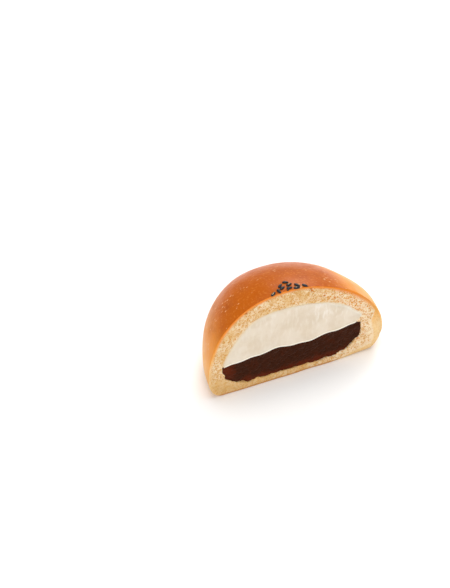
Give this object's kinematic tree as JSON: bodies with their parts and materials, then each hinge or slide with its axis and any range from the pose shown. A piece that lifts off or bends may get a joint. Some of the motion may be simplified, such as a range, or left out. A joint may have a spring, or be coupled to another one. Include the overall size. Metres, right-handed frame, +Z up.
{
  "type": "half of a red bean cream bun",
  "caption": "Half of a round baked bun, cut through the middle, showing a layer of dark bean paste with whipped cream on it and black sesame on the crust.",
  "frame": {"origin": "centre of the bounding box, on the table under the bun", "axes": "+X along the cut to the right, +Y from the cut into the bun, +Z up"},
  "size_m": [0.0984, 0.0497, 0.0591],
  "materials": {
    "baked_bread": "egg-washed golden brown crust, pale open crumb where cut",
    "red_bean_paste": "rough and slightly moist, dark red brown",
    "whipped_cream": "smooth, soft, off-white"
  },
  "bodies": {
    "root": {"bread": "baked_bread", "bean_paste": "red_bean_paste", "cream": "whipped_cream"}
  },
  "joints": []
}
